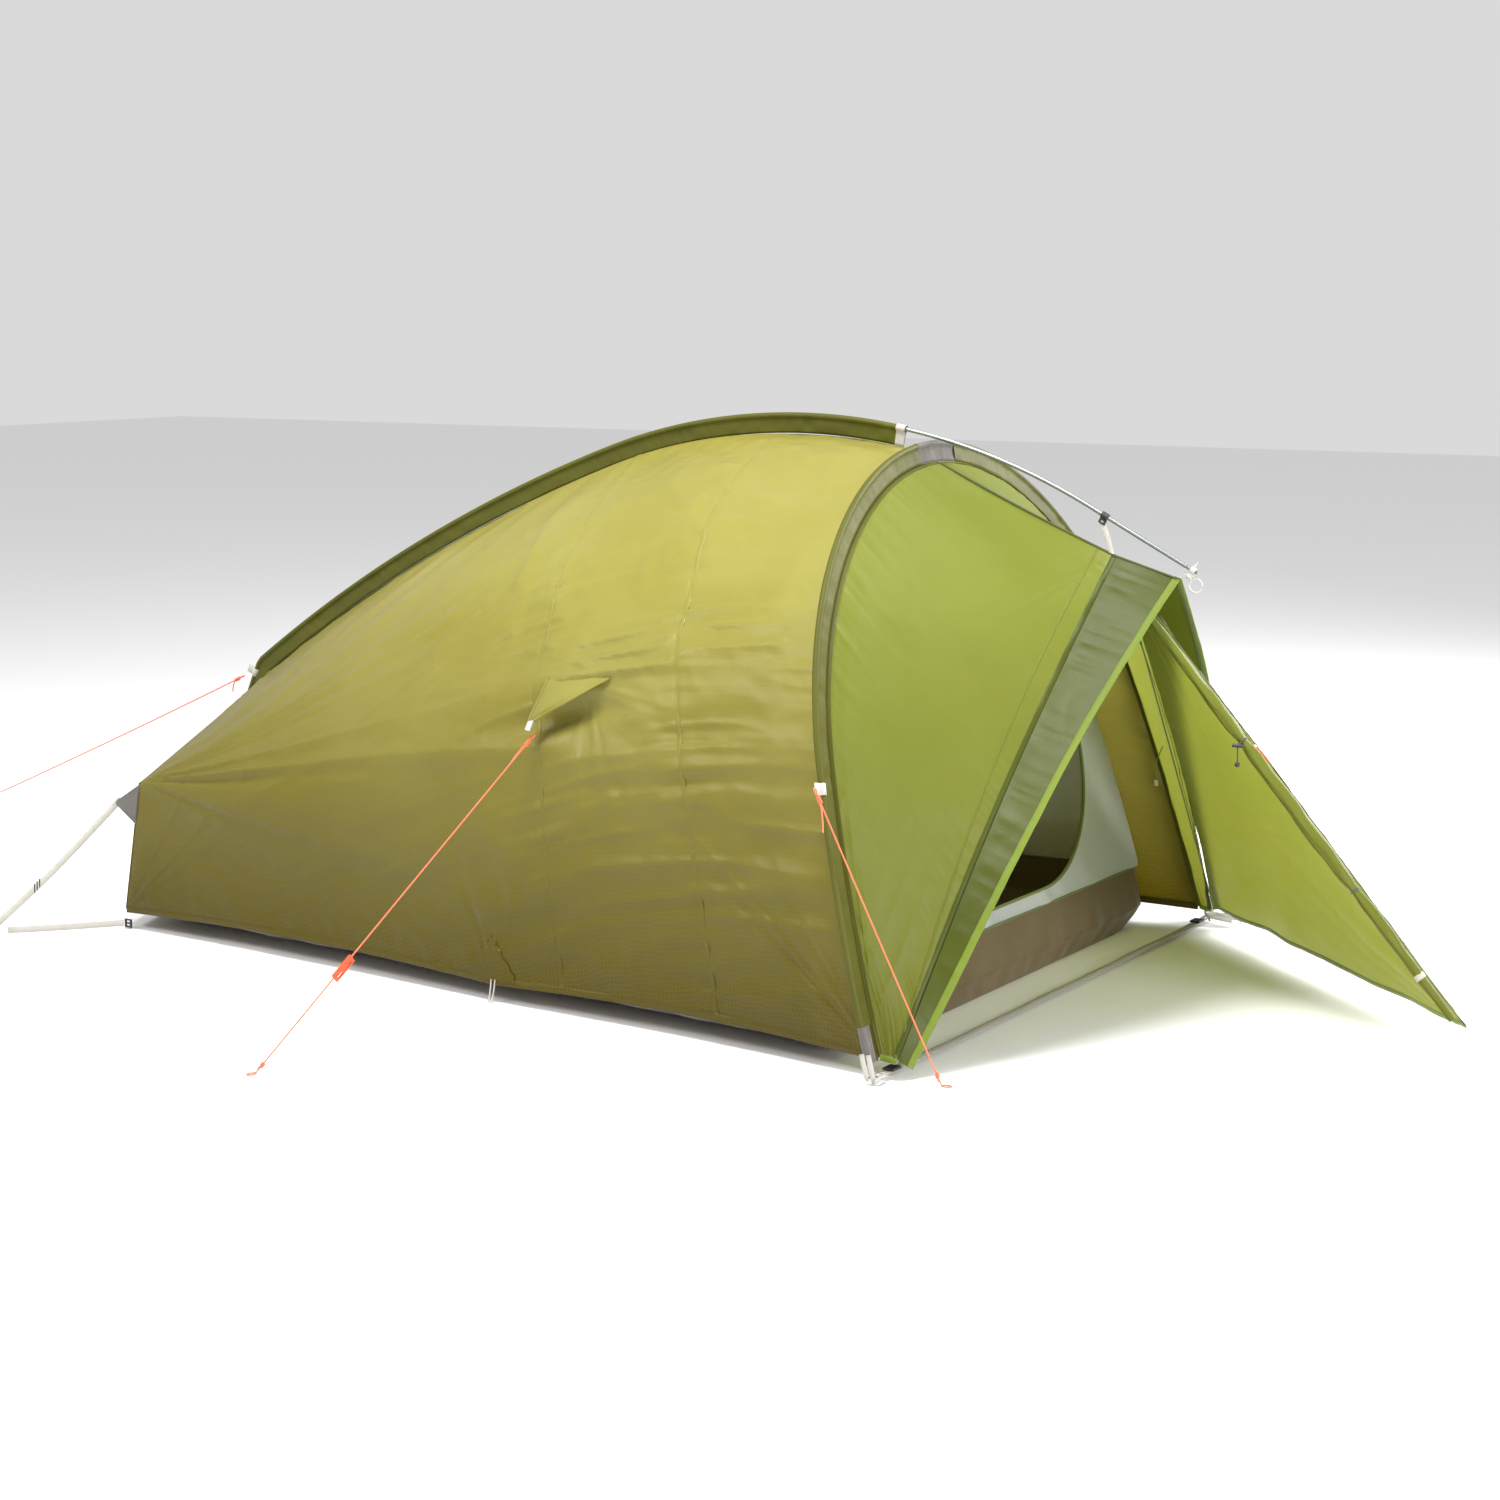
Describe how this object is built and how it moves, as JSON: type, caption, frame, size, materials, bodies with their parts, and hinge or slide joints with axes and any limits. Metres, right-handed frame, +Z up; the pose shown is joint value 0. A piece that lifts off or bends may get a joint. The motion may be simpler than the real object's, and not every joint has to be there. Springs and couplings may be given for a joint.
{
  "type": "trekking tent",
  "caption": "Two-pole trekking tent: a ridge pole over a leaning hoop, an olive fly with a staked-out vestibule door, and a hung inner tent with a bathtub groundsheet",
  "frame": {"origin": "centre of the underside of the groundsheet, on the ground", "axes": "+X from the foot end to the entrance, +Z up, and +Y to the left of a person who stands inside and faces the entrance; the XZ plane is the mirror plane of the poles and the main fly"},
  "size_m": [4.3668, 2.1994, 1.2],
  "materials": {
    "alloy_tube": "brushed",
    "elastic": "matte",
    "fly_olive": "satin coated ripstop",
    "sleeve_olive": "satin",
    "patch_grey": "plain weave",
    "vestibule_green": "satin coated ripstop",
    "webbing": "woven tape",
    "hardware": "moulded",
    "tub_brown": "coated",
    "inner_grey": "thin translucent weave",
    "zip_tape": "woven tape with coil",
    "signal_orange": "braided",
    "runner_orange": "moulded"
  },
  "bodies": {
    "tent": {"ridge_pole_foot": "alloy_tube", "ridge_pole_elbow": "alloy_tube", "ridge_pole_rear": "alloy_tube", "ridge_pole_crown": "alloy_tube", "ridge_pole_brow": "alloy_tube", "hoop_pole": "alloy_tube", "pole_ferrules": "alloy_tube", "pole_tips": "alloy_tube", "shock_cords": "elastic", "fly_left": "fly_olive", "fly_right": "fly_olive", "fly_rear": "fly_olive", "ridge_sleeve": "sleeve_olive", "hoop_sleeve": "sleeve_olive", "crossing_patch": "patch_grey", "hoop_foot_pockets": "patch_grey", "vestibule_left": "vestibule_green", "vestibule_right": "vestibule_green", "hood_left": "vestibule_green", "hood_right": "vestibule_green", "sleeve_end_band": "webbing", "rear_guy_loop": "webbing", "hoop_guy_loops": "webbing", "side_guy_tabs": "fly_olive", "side_guy_loops": "webbing", "rear_corner_gussets": "patch_grey", "rear_corner_straps": "webbing", "rear_corner_buckles": "hardware", "hem_peg_loops": "webbing", "base_strap": "webbing", "foot_grommets": "webbing", "ladder_locks": "hardware", "brow_strap": "webbing", "brow_end_tie": "webbing", "groundsheet": "tub_brown", "inner_left": "inner_grey", "inner_right": "inner_grey", "inner_rear": "inner_grey", "inner_front": "inner_grey", "inner_door_rolled": "inner_grey", "inner_hangers": "elastic", "fly_zip": "zip_tape", "inner_zip": "zip_tape", "guyline_rear": "signal_orange", "guyline_side": "signal_orange", "guyline_hoop": "signal_orange"},
    "front_door": {"door_right": "vestibule_green", "door_left_rolled": "vestibule_green", "door_tip_loop": "webbing", "door_ties": "hardware", "centre_zip": "zip_tape"},
    "toggle": {"door_toggle": "hardware"},
    "fly_slider": {"fly_zip_slider": "signal_orange"},
    "centre_slider": {"centre_zip_slider": "signal_orange"},
    "inner_slider": {"inner_zip_slider": "signal_orange"},
    "runner": {"guyline_tensioner": "runner_orange"},
    "clip": {"brow_clip": "hardware"}
  },
  "joints": [
    {"name": "front_door_swing", "type": "hinge", "parent": "tent", "child": "front_door", "pos_m": [1.206, 0.016, 0.891], "axis": [0.0705, -0.6542, 0.753], "range_deg": [0, 100], "deforming": ["hood_right"]},
    {"name": "door_toggle_swing", "type": "hinge", "parent": "front_door", "child": "toggle", "pos_m": [1.4918, -0.062, 0.57068], "axis": [1, 0, 0], "range_deg": [-25, 25], "stiffness_Nm_per_rad": 0.002},
    {"name": "fly_zip_slide", "type": "slide", "parent": "tent", "child": "fly_slider", "axis": [-0.0705, 0.6542, -0.753], "range_m": [-0.09, 0.93]},
    {"name": "centre_zip_slide", "type": "slide", "parent": "front_door", "child": "centre_slider", "axis": [0.6589, 0, -0.7523], "range_m": [-0.34, 0.62]},
    {"name": "inner_zip_slide", "type": "slide", "parent": "tent", "child": "inner_slider", "axis": [0, 1, 0], "range_m": [-0.17, 0.34]},
    {"name": "runner_slide", "type": "slide", "parent": "tent", "child": "runner", "axis": [-0.1524, -0.7756, -0.6125], "range_m": [-0.25, 0.18]},
    {"name": "brow_clip_rock", "type": "hinge", "parent": "tent", "child": "clip", "pos_m": [1.16853, 0, 1.00728], "axis": [0.887, 0, -0.4617], "range_deg": [-20, 20], "stiffness_Nm_per_rad": 0.02, "deforming": ["brow_strap"]}
  ]
}
